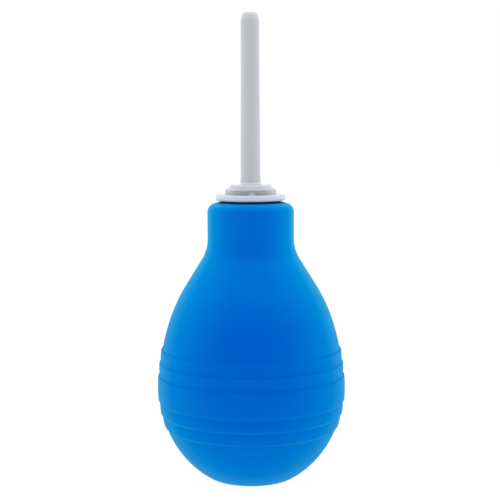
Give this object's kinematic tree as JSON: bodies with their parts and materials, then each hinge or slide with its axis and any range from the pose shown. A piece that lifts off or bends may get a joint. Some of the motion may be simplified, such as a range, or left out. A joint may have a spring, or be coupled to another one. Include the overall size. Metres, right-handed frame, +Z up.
{
  "type": "nasal aspirator",
  "caption": "Squeeze-bulb nasal aspirator: hollow ringed rubber bulb with a thick neck, a rigid barbed neck plug, a stepped hub and a slim push-on nozzle tube.",
  "frame": {"origin": "centre of the bulb's flat base, at its underside", "axes": "+Z up along the common axis of the bulb and the nozzle; -Y is the front, the side of the index pip on the flange"},
  "size_m": [0.0558, 0.0558, 0.1377],
  "materials": {
    "bulb_rubber": "satin",
    "plug_plastic": "satin",
    "hub_plastic": "satin",
    "tube_plastic": "satin"
  },
  "bodies": {
    "bulb": {"bulb": "bulb_rubber"},
    "plug": {"neck_plug": "plug_plastic"},
    "hub": {"nozzle_hub": "hub_plastic"},
    "tube": {"nozzle_tube": "tube_plastic"}
  },
  "joints": [
    {"name": "bulb_squeeze", "type": "slide", "parent": "bulb", "child": "plug", "axis": [0, 0, -1], "range_m": [0, 0.018], "stiffness_N_per_m": 600, "deforming": ["bulb"]},
    {"name": "hub_pull", "type": "slide", "parent": "plug", "child": "hub", "axis": [0, 0, 1], "range_m": [0, 0.011]},
    {"name": "tube_pull", "type": "slide", "parent": "hub", "child": "tube", "axis": [0, 0, 1], "range_m": [0, 0.008]}
  ]
}
